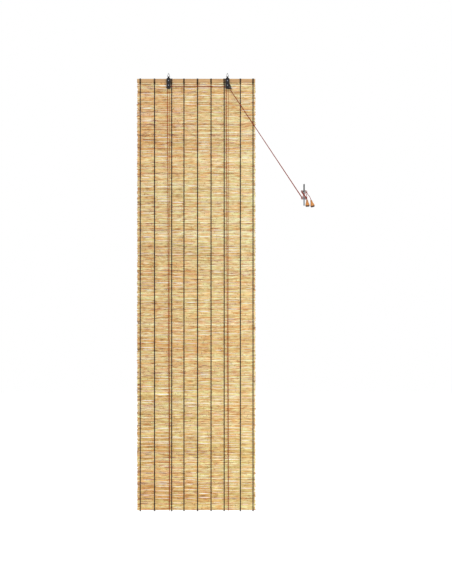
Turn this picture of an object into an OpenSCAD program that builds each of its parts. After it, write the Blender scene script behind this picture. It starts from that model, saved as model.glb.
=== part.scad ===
// Reed roller blind with pulleys, lift cords, tassels and wall cleat, in millimetres
// X runs to the right, Y towards the wall, Z up, zero midway between the two hooks

/* [Mat] */
// width of the reed mat
mat_w = 603; // [560:1:700]
// height from the top of the rail to the last reed
blind_h = 2200; // [2190:1:2202]
// sideways shift of the mat from the middle of the hooks
mat_shift = -9.5; // [-11:0.5:-6]
// height of one reed row
reed_pitch = 5; // [4.5:0.5:7]
// thickness of the mat over the reeds
mat_t = 5.5; // [4.5:0.5:6]
// thickness of the mat between two reeds
valley_t = 2.6; // [1.6:0.2:3.6]
// height of a gap between two reeds
gap_h = 1.6; // [0.6:0.2:2]
// rows of gaps down the mat
gap_rows = 13; // [4:1:13]

/* [Head rail] */
// height of the head rail
rail_h = 20; // [19:0.5:22]
// thickness of the head rail
rail_t = 10; // [9:0.5:11]

/* [Threads] */
// width of a warp thread
warp_w = 4; // [2:0.5:5]
// thickness of a warp thread
warp_t = 1.2; // [0.8:0.1:1.6]
// diameter of the knot below each warp thread
warp_knot_d = 6; // [4:0.5:7]
// width of a head lashing
lashing_w = 7; // [4:0.5:8]
// thickness of a head lashing
lashing_t = 2.2; // [1.6:0.1:2.6]

/* [Pulley housings] */
// distance between the two hooks
hook_spacing = 300; // [299:0.5:301]
// drop from the hooks to the top of the rail
hook_to_rail = 26; // [25.5:0.5:26.5]
// drop from the hooks to the roller axles
hook_to_axle = 71.5; // [71.3:0.1:71.7]
// drop from the hooks to the spacer rivets
hook_to_spacer = 59.7; // [57:0.1:60.5]
// drop from the hooks to the foot of a housing
hook_to_foot = 78; // [76:0.5:82]
// drop from the hooks to the top of a housing
hook_to_fold = 14.3; // [14.1:0.1:14.6]
// width of a housing
housing_w = 21; // [19:0.5:24]
// width of the neck of a housing
neck_w = 7; // [5:0.5:7.5]
// thickness of the strip steel
sheet_t = 1; // [0.8:0.1:1.2]
// room between the two plates of a housing
plate_gap = 8.6; // [8.4:0.1:9]
// extra width of the skirt on the right housing
skirt_w = 12; // [8:0.5:14]
// cut corners at the foot of a housing
foot_cut = 3; // [1:0.5:4]

/* [Rivets and rollers] */
// diameter of the rivets and axles
pin_d = 3.5; // [3:0.1:3.8]
// diameter of a bright rivet head
rivet_head_d = 5.6; // [5:0.1:7]
// height of a bright rivet head
rivet_head_h = 1.6; // [1:0.1:2]
// height of an axle head
axle_head_h = 0.8; // [0.6:0.1:1.2]
// diameter over the flanges of a roller
roller_d = 12.6; // [12:0.1:12.8]
// width of a roller
roller_w = 8.2; // [7.9:0.1:8.3]
// thickness of a roller flange
flange_t = 0.9; // [0.6:0.1:1]
// distance from the axle to the middle of the cord on a roller
pitch_r = 6; // [5.9:0.1:6.1]
// diameter of the lock roller
lock_d = 6; // [5:0.1:6.2]
// diameter of the lock roller's end pins
lock_pin_d = 2.4; // [2:0.1:3]
// travel of the lock roller in its slots
lock_travel = 3.5; // [2.5:0.1:3.6]
// slope of the lock slots
lock_slope = 36; // [32:1:38]

/* [Hanging rings] */
// diameter of the ring wire
ring_wire = 2; // [1.8:0.1:2.2]
// outer width of a ring
ring_w = 13.8; // [13:0.1:15]

/* [Cords and tassels] */
// diameter of the lift cords
cord_d = 2.8; // [2.4:0.1:2.9]
// diameter of a knot on a cord
cord_knot_d = 5.6; // [5:0.1:6]
// length of a tassel
tassel_len = 37; // [34:0.5:40]
// largest diameter of a tassel
tassel_d = 22; // [18:0.5:23]
// diameter of the top of a tassel
tassel_top_d = 8; // [7:0.1:9]

/* [Wall cleat] */
// distance from the hooks back to the wall
wall_gap = 25; // [24.8:0.1:26]
// length of the cleat
cleat_len = 112; // [100:1:130]
// width of the cleat
cleat_w = 8.4; // [6:0.1:8.6]
// depth of the cleat from the wall
cleat_depth = 14; // [13:0.1:14.1]
// thickness of an arm at its root
arm_t = 5.5; // [4.5:0.1:5.7]
// how far an arm leans forward at its tip
arm_lean = 4; // [2:0.5:7]
// length of the foot of the cleat
cleat_foot = 24; // [22:0.5:24.2]
// distance between the two screw holes
screw_spacing = 14; // [12:0.5:15]
// diameter of a screw hole
screw_d = 4; // [3.5:0.1:4.2]

/* [Hidden] */
// running clearance of a roller on its axle, on the radius
run_clear = 0.05;
// clearance of a rivet in its hole, on the radius
rivet_clear = 0.05;
// clearance round threads, cords and pins
soft_clear = 0.3;
// clearance of a thread in its slot
slot_clear = 0.15;
// clearance between a lashing and a housing
beside_clear = 1.5;
// overrun of every cut
cut = 1;
// fineness of round shapes
$fn = 48;

// places of the warp threads from the middle of the mat, as shares of its width
warp_place_shares = [-0.473, -0.352, -0.207, -0.103, 0.012, 0.126, 0.237, 0.374, 0.481];
warp_count = len(warp_place_shares);
// widths of the gaps, as shares of the bay between two warp threads
gap_width_shares = [0.62, 0.8, 0.5, 0.7, 0.85, 0.55, 0.66];
// step through those widths from one row of gaps to the next
gap_width_step = 3;
// how far the rows of gaps wander, as a share of a row, and the turn between them
gap_wander_share = 0.4;
wander_turn = 137;

// the plates, the rail and the mat, one behind the other
plate_out = plate_gap / 2 + sheet_t;
rail_front = plate_out;
rail_back = rail_front + rail_t;
mat_y = rail_front + rail_t / 2;
rail_top = -hook_to_rail;
rail_bottom = rail_top - rail_h;
rail_mid = rail_top - rail_h / 2;
mat_bottom = rail_top - blind_h;
reed_count = floor((rail_bottom - mat_bottom) / reed_pitch);
reed_step = (rail_bottom - mat_bottom) / reed_count;

// the lashing goes through the mat below the first reed, and the warp thread just under it
lash_in_z = rail_bottom - reed_step + slot_clear;
lash_out_z = lash_in_z - lashing_t;
lash_in_share = 0.45;
lash_foot_in = lash_in_share * rail_t / 2;
warp_out_z = lash_out_z - slot_clear;
warp_in_z = warp_out_z - warp_t;
warp_in_y = mat_t / 2;
warp_out_y = warp_in_y + warp_t;

// the housing
left_x = -hook_spacing / 2;
right_x = hook_spacing / 2;
fold_out_r = plate_out;
fold_in_r = plate_gap / 2;
fold_z = -hook_to_fold - fold_out_r;
axle_z = -hook_to_axle;
spacer_z = -hook_to_spacer;
foot_z = -hook_to_foot;
shoulder_z = fold_z - (housing_w - neck_w) / 2;
skirt_top_share = 0.45;
skirt_top_z = rail_top + skirt_top_share * (foot_z - rail_top);
foot_in = housing_w / 2 - foot_cut;
rivet_hole_d = pin_d + 2 * rivet_clear;
rivet_tail_h = 1.2;
spacer_d = pin_d + 2 * sheet_t;
// hole that takes the cord's first end through the back plate and the rail
anchor_in = 5;
anchor_z = rail_mid - anchor_in;
anchor_d = cord_d + 2 * soft_clear;

// the lock roller, at the low end of its slots
lock_in = 14;
lock_up = 0.5;
lock_z = axle_z + lock_up;
lock_pin_clear = 0.1;
flute_count = 12;
flute_depth_share = 0.12;
lock_pin_out = 0.6;
groove_r = pitch_r - cord_d / 2 - soft_clear;

// the ring: three rounded corners joined by straight wire
ring_apex_r = 2.5;
ring_base_r = 1.6;
ring_base_z = fold_z + fold_in_r - ring_wire / 2 - soft_clear;
ring_apex_z = ring_wire / 2 - ring_apex_r;
ring_corner_z = ring_base_z + ring_base_r;
ring_corner_x = ring_w / 2 - ring_wire / 2 - ring_base_r;
ring_rise = ring_apex_z - ring_corner_z;
ring_leg = norm([ring_corner_x, ring_rise]);
ring_lean = atan2(ring_corner_x, ring_rise) - asin((ring_apex_r - ring_base_r) / ring_leg);
ring_sides = 12;
ring_corner_steps = 7;

// the cleat
cleat_x = 541;
cleat_z = -618;
cleat_front = wall_gap - cleat_depth;
arm_tip_share = 0.62;
arm_end_share = 0.42;
arm_end_r = cleat_w * arm_end_share;
// steps along an arm, and the step where its back meets the foot
arm_steps = 8;
arm_root_step = 3;
sink_d_share = 0.86;
sink_h_share = 0.16;

// a tassel, outline as shares of its radius and length, from the top down
tassel_shares = [[0.42, 0.03], [0.44, 0.1], [0.43, 0.2], [0.47, 0.32], [0.6, 0.45], [0.8, 0.6],
                 [0.96, 0.74], [1, 0.83], [0.97, 0.91], [0.86, 0.97], [0.72, 1]];
tassel_bore_d = cord_d + 2 * soft_clear;
tassel_pocket_d = cord_knot_d + 4 * soft_clear;
tassel_pocket_share = 0.24;
tassel_top_share = tassel_top_d / tassel_d;

// sides of a cord's tube
cord_sides = 8;

// route of the left cord: housing, back of the mat, front, both rollers, cleat, tassel
left_route = [
  [-145, 3.8, -41], [-145, 15.5, -41], [-145, 19.7, -42.8], [-145, 21.5, -47],
  [-145, 16.8, -2221.6], [-145, 14.9, -2226.2], [-145, 10.3, -2228.1], [-145, 5.7, -2226.2],
  [-145, 3.8, -2221.6],
  [-156, -1.5, -71.5], [-155.5, -1.5, -69.2], [-154.2, -1.5, -67.3], [-152.3, -1.5, -66],
  [-150, -1.5, -65.5], [150, -1.5, -65.5], [152.8, -1.5, -66.2], [155, -1.5, -68.2],
  [283, 1.6, -259.8], [526.5, 11, -624.3], [531.8, 15, -631.6], [541, 22, -632.6], [551.2, 14.5, -631.4],
  [546.5, 9.2, -624.5], [535.5, 9.2, -611.5], [530.4, 15, -604.4], [541, 22, -603.4], [550.6, 14.5, -604.4],
  [546, 2.9, -611.5], [536, 2.9, -624.5], [527, 10, -637.4], [541, 22, -639], [552.6, 9.5, -638.6],
  [543.7, -0.4, -626.3], [533.7, -0.4, -613.3], [526.5, 9, -597.6], [541, 22, -596.9],
  [552, 17.5, -596.5], [558.5, 13.5, -612.5], [570, 13.5, -628], [576.7, 13.5, -644.4],
  [584, 13.5, -672.3]];

// route of the right cord: housing, back of the mat, front, right roller, cleat, tassel
right_route = [
  [155, 3.8, -41], [155, 15.5, -41], [155, 19.7, -42.8], [155, 21.5, -47],
  [155, 16.8, -2221.6], [155, 14.9, -2226.2], [155, 10.3, -2228.1], [155, 5.7, -2226.2],
  [155, 3.8, -2221.6],
  [144, 1.5, -71.5], [144.6, 1.5, -69], [146.1, 1.5, -66.9], [148.4, 1.5, -65.7],
  [151, 1.5, -65.6], [153.4, 1.5, -66.6], [155, 1.5, -68.2],
  [283, 4.5, -261.1], [525.5, 14, -626.5], [529.8, 17.8, -633.8], [541, 22, -635.6], [553, 10.6, -634.4],
  [547.2, 6.1, -623.6], [537.2, 6.1, -610.6], [529, 10.8, -601.4], [541, 22, -600.4], [551.6, 18.4, -602.2],
  [553.3, 15, -611], [555, 13.5, -626], [555.9, 13.5, -641.4], [558.4, 13.5, -670.3]];

left_end = len(left_route) - 1;
right_end = len(right_route) - 1;

// place of a warp thread and its lashing, kept clear of both housings
function warp_x(i) =
  beside(beside(mat_shift + warp_place_shares[i - 1] * mat_w, left_x), right_x);
function beside(x, housing_x) =
  let (room = housing_w / 2 + lashing_w / 2 + beside_clear)
    abs(x - housing_x) > room ? x
    : x < housing_x ? housing_x - room
    : housing_x + room;
function unit(v) = v / norm(v);

// direction of a route at one of its points
function heading(p, i) =
  i == 0 ? unit(p[1] - p[0])
  : i == len(p) - 1 ? unit(p[i] - p[i - 1])
  : unit(unit(p[i] - p[i - 1]) + unit(p[i + 1] - p[i]));

// side vectors carried along a route without twisting
function carried(p, i, side) =
  i == len(p) ? []
  : let (t = heading(p, i), s = unit(side - (side * t) * t)) concat([s], carried(p, i + 1, s));

// points round a tube at one place
function ring_points(centre, t, s, r, sides) =
  [for (k = [0:sides - 1]) let (a = 360 * k / sides)
    centre + r * (cos(a) * s + sin(a) * cross(t, s))];

// a solid with the section of a flat outline in Y and Z, centred on x = 0
module along_x(width) {
  translate([-width / 2, 0, 0])
    rotate([90, 0, 90])
      linear_extrude(width)
        children();
}

// a solid with the section of a flat outline in X and Z, from one y to another
module along_y(y0, y1) {
  translate([0, y1, 0])
    rotate([90, 0, 0])
      linear_extrude(y1 - y0)
        children();
}

module pin_y(d, y0, y1) {
  translate([0, y1, 0])
    rotate([90, 0, 0])
      cylinder(d = d, h = y1 - y0);
}

// round head whose flat side faces +Y at y
module dome_y(d, h, y) {
  ball_r = (pow(d / 2, 2) + pow(h, 2)) / (2 * h);
  intersection() {
    translate([0, y - h + ball_r, 0])
      sphere(r = ball_r);
    pin_y(d, y - h, y);
  }
}

// a tube along a route, one closed mesh
module cord_tube(p) {
  n = len(p);
  sides = carried(p, 0, [1, 0, 0]);
  points = [for (i = [0:n - 1]) each ring_points(p[i], heading(p, i), sides[i], cord_d / 2, cord_sides)];
  walls = [for (i = [0:n - 2], k = [0:cord_sides - 1])
    let (a = i * cord_sides + k, b = i * cord_sides + (k + 1) % cord_sides)
      each [[a, a + cord_sides, b], [b, a + cord_sides, b + cord_sides]]];
  first_cap = [for (k = [0:cord_sides - 1]) k];
  last_cap = [for (k = [cord_sides - 1:-1:0]) (n - 1) * cord_sides + k];
  polyhedron(points = points, faces = concat(walls, [first_cap, last_cap]));
}

// a knot on the end of a route
module cord_knot(at, from) {
  translate(at + unit(at - from) * (cord_knot_d - cord_d / 2) / 2)
    sphere(d = cord_knot_d);
}

module reed_mat() {
  front = [for (i = [0:reed_count - 1]) each [
    [mat_y - valley_t / 2, rail_bottom - i * reed_step],
    [mat_y - mat_t / 2, rail_bottom - (i + 0.5) * reed_step]]];
  back = [for (i = [reed_count - 1:-1:0]) each [
    [mat_y + mat_t / 2, rail_bottom - (i + 0.5) * reed_step],
    [mat_y + valley_t / 2, rail_bottom - i * reed_step]]];
  ends = [[mat_y - valley_t / 2, mat_bottom], [mat_y + valley_t / 2, mat_bottom]];
  color([0.85, 0.73, 0.54])
    difference() {
      translate([mat_shift, 0, 0])
        along_x(mat_w)
          polygon(concat(front, ends, back));
      for (bay = [1:warp_count - 1], row = [0:gap_rows - 1])
        reed_gap(bay, row);
      for (i = [1:warp_count])
        lashing_slot(i);
    }
}

// one see-through gap between two reeds, inside the bay to the right of a warp thread
module reed_gap(bay, row) {
  bay_w = warp_x(bay + 1) - warp_x(bay);
  wander = gap_wander_share * sin(wander_turn * (bay + row * warp_count));
  reed = round(reed_count * (row + 0.5 + wander) / gap_rows);
  width = bay_w * gap_width_shares[(row * gap_width_step + bay) % len(gap_width_shares)];
  free = bay_w - width - lashing_w;
  x = warp_x(bay) + lashing_w / 2 + free * (1 + sin(wander_turn * row + bay)) / 2;
  translate([x, mat_y - mat_t / 2 - cut, rail_bottom - reed * reed_step - gap_h / 2])
    cube([width, mat_t + 2 * cut, gap_h]);
}

// slot in the mat for a lashing and the top of its warp thread
module lashing_slot(i) {
  slot_w = lashing_w + 2 * slot_clear;
  slot_top = lash_in_z + slot_clear;
  slot_low = warp_in_z - slot_clear;
  translate([warp_x(i) - slot_w / 2, mat_y - mat_t / 2 - cut, slot_low])
    cube([slot_w, mat_t + 2 * cut, slot_top - slot_low]);
}

module head_rail() {
  color([0.82, 0.66, 0.46])
    difference() {
      translate([mat_shift - mat_w / 2, rail_front, rail_bottom])
        cube([mat_w, rail_t, rail_h]);
      for (x = [left_x, right_x]) {
        translate([x, 0, rail_mid])
          pin_y(rivet_hole_d, 0, rail_back + cut);
        translate([x + anchor_in, 0, anchor_z])
          pin_y(anchor_d, 0, rail_back + cut);
      }
    }
}

// a thread loop round the reeds, with a knot below the last one
module warp_thread(i) {
  color([0.22, 0.16, 0.12])
    translate([warp_x(i), mat_y, 0]) {
      along_x(warp_w)
        difference() {
          translate([-warp_out_y, mat_bottom - warp_t])
            square([2 * warp_out_y, warp_out_z - mat_bottom + warp_t]);
          translate([-warp_in_y, mat_bottom])
            square([2 * warp_in_y, warp_in_z - mat_bottom]);
        }
      translate([0, 0, mat_bottom - warp_t / 2 - warp_knot_d / 2])
        sphere(d = warp_knot_d);
    }
}

// a lashing loop round the rail and the first reed
module head_lashing(i) {
  in_y = rail_t / 2;
  out_y = in_y + lashing_t;
  foot_out = lash_foot_in + lashing_t;
  color([0.1, 0.07, 0.06])
    translate([warp_x(i), mat_y, 0])
      along_x(lashing_w)
        difference() {
          polygon([[-out_y, rail_top + lashing_t], [out_y, rail_top + lashing_t], [out_y, rail_bottom],
                   [foot_out, lash_out_z], [-foot_out, lash_out_z], [-out_y, rail_bottom]]);
          polygon([[-in_y, rail_top], [in_y, rail_top], [in_y, rail_bottom],
                   [lash_foot_in, lash_in_z], [-lash_foot_in, lash_in_z], [-in_y, rail_bottom]]);
        }
}

// outline of one plate, with a skirt to the right where it is asked for
module plate_outline(skirt) {
  corner_cut = skirt > 0 ? 0 : foot_cut;
  polygon([[-neck_w / 2, fold_z], [neck_w / 2, fold_z], [housing_w / 2, shoulder_z],
           [housing_w / 2, skirt_top_z], [housing_w / 2 + skirt, foot_z + corner_cut],
           [foot_in + skirt, foot_z], [-foot_in, foot_z], [-housing_w / 2, foot_z + foot_cut],
           [-housing_w / 2, shoulder_z]]);
}

// strip steel folded over the base of the hanging ring
module housing(x, skirt) {
  color([0.12, 0.11, 0.11])
    translate([x, 0, 0])
      difference() {
        union() {
          along_y(-plate_out, -plate_gap / 2)
            plate_outline(skirt);
          along_y(plate_gap / 2, plate_out)
            plate_outline(skirt);
          translate([0, 0, fold_z])
            along_x(neck_w)
              difference() {
                circle(r = fold_out_r);
                circle(r = fold_in_r);
                translate([-fold_out_r - cut, -fold_out_r - cut])
                  square([2 * (fold_out_r + cut), fold_out_r + cut]);
              }
        }
        for (z = [rail_mid, spacer_z, axle_z])
          translate([0, 0, z])
            pin_y(rivet_hole_d, -plate_out - cut, plate_out + cut);
        translate([anchor_in, 0, anchor_z])
          pin_y(anchor_d, 0, plate_out + cut);
        if (skirt > 0)
          lock_slot();
      }
}

// the slanted slot for the end pins of the lock roller
module lock_slot() {
  slot_d = lock_pin_d + 2 * lock_pin_clear;
  translate([lock_in, 0, lock_z])
    rotate([0, lock_slope, 0])
      for (y = [-plate_out - cut, plate_gap / 2 - cut]) {
        pin_y(slot_d, y, y + sheet_t + 2 * cut);
        translate([-lock_travel, 0, 0])
          pin_y(slot_d, y, y + sheet_t + 2 * cut);
        translate([-lock_travel, y, -slot_d / 2])
          cube([lock_travel, sheet_t + 2 * cut, slot_d]);
      }
}

module rail_rivet(x) {
  color([0.72, 0.72, 0.74])
    translate([x, 0, rail_mid]) {
      dome_y(rivet_head_d, rivet_head_h, -plate_out);
      pin_y(pin_d, -plate_out, rail_back);
      pin_y(rivet_head_d, rail_back, rail_back + rivet_tail_h);
    }
}

module spacer_rivet(x) {
  color([0.72, 0.72, 0.74])
    translate([x, 0, spacer_z]) {
      dome_y(rivet_head_d, rivet_head_h, -plate_out);
      pin_y(pin_d, -plate_out, plate_out);
      pin_y(spacer_d, -plate_gap / 2, plate_gap / 2);
      pin_y(rivet_head_d, plate_out, plate_out + rivet_tail_h);
    }
}

module axle(x) {
  color([0.14, 0.13, 0.13])
    translate([x, 0, axle_z]) {
      dome_y(rivet_head_d, axle_head_h, -plate_out);
      pin_y(pin_d, -plate_out, plate_out);
      pin_y(rivet_head_d, plate_out, plate_out + axle_head_h);
    }
}

// a grooved roller, wide enough for two cords side by side
module roller(x) {
  color([0.2, 0.19, 0.18])
    translate([x, 0, axle_z])
      difference() {
        union() {
          pin_y(2 * groove_r, -roller_w / 2, roller_w / 2);
          pin_y(roller_d, -roller_w / 2, flange_t - roller_w / 2);
          pin_y(roller_d, roller_w / 2 - flange_t, roller_w / 2);
        }
        pin_y(pin_d + 2 * run_clear, -roller_w / 2 - cut, roller_w / 2 + cut);
      }
}

// a fluted roller that clamps the cords, with a pin at each end
module lock_roller() {
  inner = lock_d / 2 * (1 - flute_depth_share * 2);
  turn = 180 / flute_count;
  color([0.6, 0.6, 0.62])
    translate([right_x + lock_in, 0, lock_z]) {
      along_y(-roller_w / 2, roller_w / 2)
        polygon([for (k = [0:2 * flute_count - 1])
          let (r = k % 2 == 0 ? lock_d / 2 : inner) [r * cos(turn * k), r * sin(turn * k)]]);
      pin_y(lock_pin_d, -plate_out - lock_pin_out, plate_out + lock_pin_out);
    }
}

// points of a rounded corner in X and Z
function corner(x, z, r, from, to) =
  [for (k = [0:ring_corner_steps]) let (a = from + (to - from) * k / ring_corner_steps)
    [x + r * cos(a), 0, z + r * sin(a)]];

// the wire of a hanging ring, swept round its three corners as one closed mesh
module hanging_ring(x) {
  path = concat(
    corner(ring_corner_x, ring_corner_z, ring_base_r, -90, ring_lean),
    corner(0, ring_apex_z, ring_apex_r, ring_lean, 180 - ring_lean),
    corner(-ring_corner_x, ring_corner_z, ring_base_r, 180 - ring_lean, 270));
  n = len(path);
  points = [for (i = [0:n - 1])
    let (t = unit(unit(path[(i + 1) % n] - path[i]) + unit(path[i] - path[(i + n - 1) % n])))
      each ring_points(path[i], t, [0, 1, 0], ring_wire / 2, ring_sides)];
  walls = [for (i = [0:n - 1], k = [0:ring_sides - 1])
    let (a = i * ring_sides + k, b = i * ring_sides + (k + 1) % ring_sides,
         c = (a + ring_sides) % (n * ring_sides), d = (b + ring_sides) % (n * ring_sides))
      each [[a, c, b], [b, c, d]]];
  color([0.7, 0.7, 0.72])
    translate([x, 0, 0])
      polyhedron(points = points, faces = walls);
}

module lift_cord(route, end) {
  color([0.55, 0.27, 0.16]) {
    cord_tube(route);
    cord_knot(route[0], route[1]);
    cord_knot(route[end], route[end - 1]);
  }
}

// a turned bell whose top is at one point of a route and which hangs towards the next
module tassel(top, low) {
  tilt = atan2(low[0] - top[0], top[2] - low[2]);
  r = tassel_d / 2;
  pocket_h = tassel_len * tassel_pocket_share;
  outline = [for (s = tassel_shares) [s[0] * r, -s[1] * tassel_len]];
  color([0.85, 0.57, 0.32])
    translate(top)
      rotate([0, -tilt, 0])
        difference() {
          rotate_extrude()
            polygon(concat([[0, 0]], [[tassel_top_share * r, 0]], outline, [[0, -tassel_len]]));
          translate([0, 0, -tassel_len - cut])
            cylinder(d = tassel_bore_d, h = tassel_len + 2 * cut);
          translate([0, 0, -tassel_len - cut])
            cylinder(d = tassel_pocket_d, h = pocket_h + cut);
        }
}

// side outline of the cleat in Y and Z: a foot on the wall and two arms that lean forward
module cleat_side() {
  half = cleat_len / 2;
  arm_front = [for (k = [-arm_steps:arm_steps]) arm_front_point(k / arm_steps, half)];
  arm_back = [for (k = [arm_steps:-1:arm_root_step]) arm_back_point(k / arm_steps, half)];
  polygon(concat(arm_front, arm_back,
                 [[cleat_front + arm_t, cleat_foot / 2], [wall_gap, cleat_foot / 2],
                  [wall_gap, -cleat_foot / 2], [cleat_front + arm_t, -cleat_foot / 2]],
                 [for (k = [len(arm_back) - 1:-1:0]) [arm_back[k][0], -arm_back[k][1]]]));
}

function arm_front_point(t, half) = [cleat_front - arm_lean * t * t, t * half];
function arm_back_point(t, half) =
  arm_front_point(t, half) + [arm_t * (1 - (1 - arm_tip_share) * t), 0];

// front outline of the cleat in X and Z: arms that narrow to round ends
module cleat_face() {
  tip_z = cleat_len / 2 - arm_end_r;
  polygon([[-arm_end_r, -tip_z], [arm_end_r, -tip_z], [cleat_w / 2, -cleat_foot / 2],
           [cleat_w / 2, cleat_foot / 2], [arm_end_r, tip_z], [-arm_end_r, tip_z],
           [-cleat_w / 2, cleat_foot / 2], [-cleat_w / 2, -cleat_foot / 2]]);
  for (side = [-1, 1])
    translate([0, side * tip_z])
      circle(r = arm_end_r);
}

module wall_cleat() {
  sink_d = cleat_w * sink_d_share;
  sink_h = cleat_depth * sink_h_share;
  color([0.62, 0.63, 0.66])
    translate([cleat_x, 0, cleat_z])
      difference() {
        intersection() {
          along_x(cleat_w)
            cleat_side();
          along_y(cleat_front - arm_lean - cut, wall_gap)
            cleat_face();
        }
        for (side = [-1, 1])
          translate([0, 0, side * screw_spacing / 2]) {
            pin_y(screw_d, cleat_front - cut, wall_gap + cut);
            translate([0, cleat_front, 0])
              rotate([-90, 0, 0])
                cylinder(d1 = sink_d, d2 = screw_d, h = sink_h);
          }
      }
}

reed_mat();
head_rail();
for (i = [1:warp_count]) warp_thread(i);
for (i = [1:warp_count]) head_lashing(i);
housing(left_x, 0);  // left_housing
rail_rivet(left_x);  // left_rail_rivet
spacer_rivet(left_x);  // left_spacer_rivet
axle(left_x);  // left_axle
roller(left_x);  // left_roller
hanging_ring(left_x);  // left_ring
housing(right_x, skirt_w);  // right_housing
rail_rivet(right_x);  // right_rail_rivet
spacer_rivet(right_x);  // right_spacer_rivet
axle(right_x);  // right_axle
roller(right_x);  // right_roller
hanging_ring(right_x);  // right_ring
lock_roller();
lift_cord(left_route, left_end);  // left_cord
lift_cord(right_route, right_end);  // right_cord
tassel(left_route[left_end - 1], left_route[left_end]);  // left_tassel
tassel(right_route[right_end - 1], right_route[right_end]);  // right_tassel
wall_cleat();
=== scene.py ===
"""Looks of a reed roller blind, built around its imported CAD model.

Metres throughout. X runs to the right, Y towards the wall, Z up; zero is midway between the two hooks.
"""
import math

import bmesh
import bpy
import numpy as np
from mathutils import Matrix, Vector


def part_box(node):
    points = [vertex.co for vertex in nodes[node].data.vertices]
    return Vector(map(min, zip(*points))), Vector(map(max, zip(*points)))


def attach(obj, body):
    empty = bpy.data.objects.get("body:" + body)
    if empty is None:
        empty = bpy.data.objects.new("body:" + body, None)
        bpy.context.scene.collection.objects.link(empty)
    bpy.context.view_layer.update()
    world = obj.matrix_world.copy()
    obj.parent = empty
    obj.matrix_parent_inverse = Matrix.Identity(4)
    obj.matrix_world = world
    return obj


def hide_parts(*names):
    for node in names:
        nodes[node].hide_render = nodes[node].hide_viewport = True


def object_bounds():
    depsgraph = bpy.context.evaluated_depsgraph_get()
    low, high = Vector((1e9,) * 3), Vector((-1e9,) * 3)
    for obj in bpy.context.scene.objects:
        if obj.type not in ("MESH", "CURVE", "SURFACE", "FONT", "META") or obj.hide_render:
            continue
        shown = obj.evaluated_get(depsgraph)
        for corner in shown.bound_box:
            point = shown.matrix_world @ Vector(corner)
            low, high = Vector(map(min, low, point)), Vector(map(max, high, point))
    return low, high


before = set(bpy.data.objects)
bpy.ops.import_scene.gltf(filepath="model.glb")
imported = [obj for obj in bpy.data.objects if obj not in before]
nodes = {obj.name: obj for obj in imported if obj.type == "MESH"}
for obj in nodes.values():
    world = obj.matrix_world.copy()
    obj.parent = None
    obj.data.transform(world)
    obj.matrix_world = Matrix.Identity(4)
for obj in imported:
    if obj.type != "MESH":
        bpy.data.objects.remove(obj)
cad_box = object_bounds()
rng = np.random.default_rng(20)

# The photograph's frame
IMAGE_HEIGHT_PX = 584
METRES_PER_PX = 0.0050965
VIEW_CENTRE = Vector((0.1427, 0.0, -1.1134))
LENS_MM = 120.0
SENSOR_MM = 36.0
CLIP_END = 100

# Studio; a softbox has a name, a place, a target, a size and a power in watts
MAT_MIDDLE = (0, 0, -1)
CLEAT_PLACE = (0.54, 0, -0.65)
SOFTBOXES = [
    ("key_light", (-1.6, -5.6, 1.6), MAT_MIDDLE, 1.4, 96),
    ("fill_light", (2.0, -2.8, -1.1), MAT_MIDDLE, 2.0, 46),
    ("top_light", (0.6, -4.4, 1.0), CLEAT_PLACE, 2.2, 38),
]
FLOOR_DROP = 0.45
FLOOR_REACH = 20.0

# The body that carries all but the rings, the rollers and the lock roller
ROOT = "blind"

# Reeds
REED_PITCH = 0.005
REED_SIDES = 8
REED_PARTS = 3  # objects that share the reeds
RADIUS_SHARES = (0.9, 1.06)  # of half the pitch
REED_STAGGER = 0.0003  # to the front and the back by turns
STAGGER_SHARES = (0.4, 1.2)
REED_RAGGED = 0.0012  # spread of the reeds' ends
LEFT_TRIM = 0.0012  # the left ends stand in from the CAD mat's edge
REED_BOW = 0.00045
BOW_FACTORS = (1, 1, 2)  # every third reed or so is twice as crooked
EDGE_BAY = 0.04  # room past the mat's edge for the bow outside the outer threads
REED_TAPER = 0.06
TAPER_REACH = 0.3  # about half the mat's width
JOINT_COUNT = 3
FIRST_JOINT = (0.03, 0.25)  # from the mat's left edge
JOINT_SPACING = (0.16, 0.26)
JOINT_FREE_EDGE = 0.01
JOINT_HALF_LENGTH = 0.003
JOINT_BULGE = 1.1
BAY_STATIONS = (0.3, 0.7)  # rings between two threads, as shares of the way
GAP_STATIONS = 6  # rings along a gap
HOLLOW_SHARE = 0.55
HOLLOW_DEPTH = 0.004

# Tone of each reed, from 0 for dark to 1 for pale; the first reeds below the rail follow the photograph
MEAN_TONE = 0.53
TONE_SPREAD = 0.105
TONE_LIMITS = (0.1, 0.9)
FIRST_TONES = (0.78, 0.18, 0.8, 0.5)
# Painted light: the reeds grow paler towards the right, as if lit more from that side
RIGHTWARD_PAINTED_LIGHT_PER_METRE = 0.27  # towards the right
# The reeds' ends get painted shade: darker on average than the rest of the reed, with a wide random spread
# in tone
END_RINGS = 3  # rings at each end of a reed with a tone of their own
END_PAINTED_SHADE = -0.06
END_SPREAD = 0.2

# Gaps between two reeds, laid out as in the part's source; the reeds beside a gap give way and thin out
GAP_ROWS = 13
GAP_SHARES = (0.62, 0.8, 0.5, 0.7, 0.85, 0.55, 0.66)
GAP_STEP = 3
GAP_WANDER = 0.4
WANDER_TURN = math.radians(137)
GAP_PUSH = 0.0004
GAP_THINNING = 0.16

# Warp threads and their knots; a thread starts and ends this many reeds from the first and the last edge
WARP_COUNT = 9
WARP_HALF_WIDTH = 0.0026
WARP_HALF_DEPTH = 0.00085
WARP_START = 0.9
WARP_END = 0.3
WARP_DIP = 0.0005
WARP_SEAT_SHARE = 0.6  # of the half depth, from the reeds to the thread's middle
WARP_SIDES = 8
WARP_STEPS_PER_REED = 3
WARP_STRANDS = 3
WARP_PITCH = 0.009
WARP_GROOVE = 0.2
KNOT_STEPS = 60
KNOT_THREAD_RADIUS = 0.0015
KNOT_SIDES = 8
WARP_KNOT_SIZE = np.array([0.003, 0.0022, 0.0019])
WARP_KNOT_DROP = 0.0022
TAIL_SPREAD = 0.0018
TAIL_DROP = 0.0046
TAIL_SWAY = 0.0006
TAIL_RADII = (0.0011, 0.001, 0.0007)
THREAD_STEP = 0.001

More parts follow.
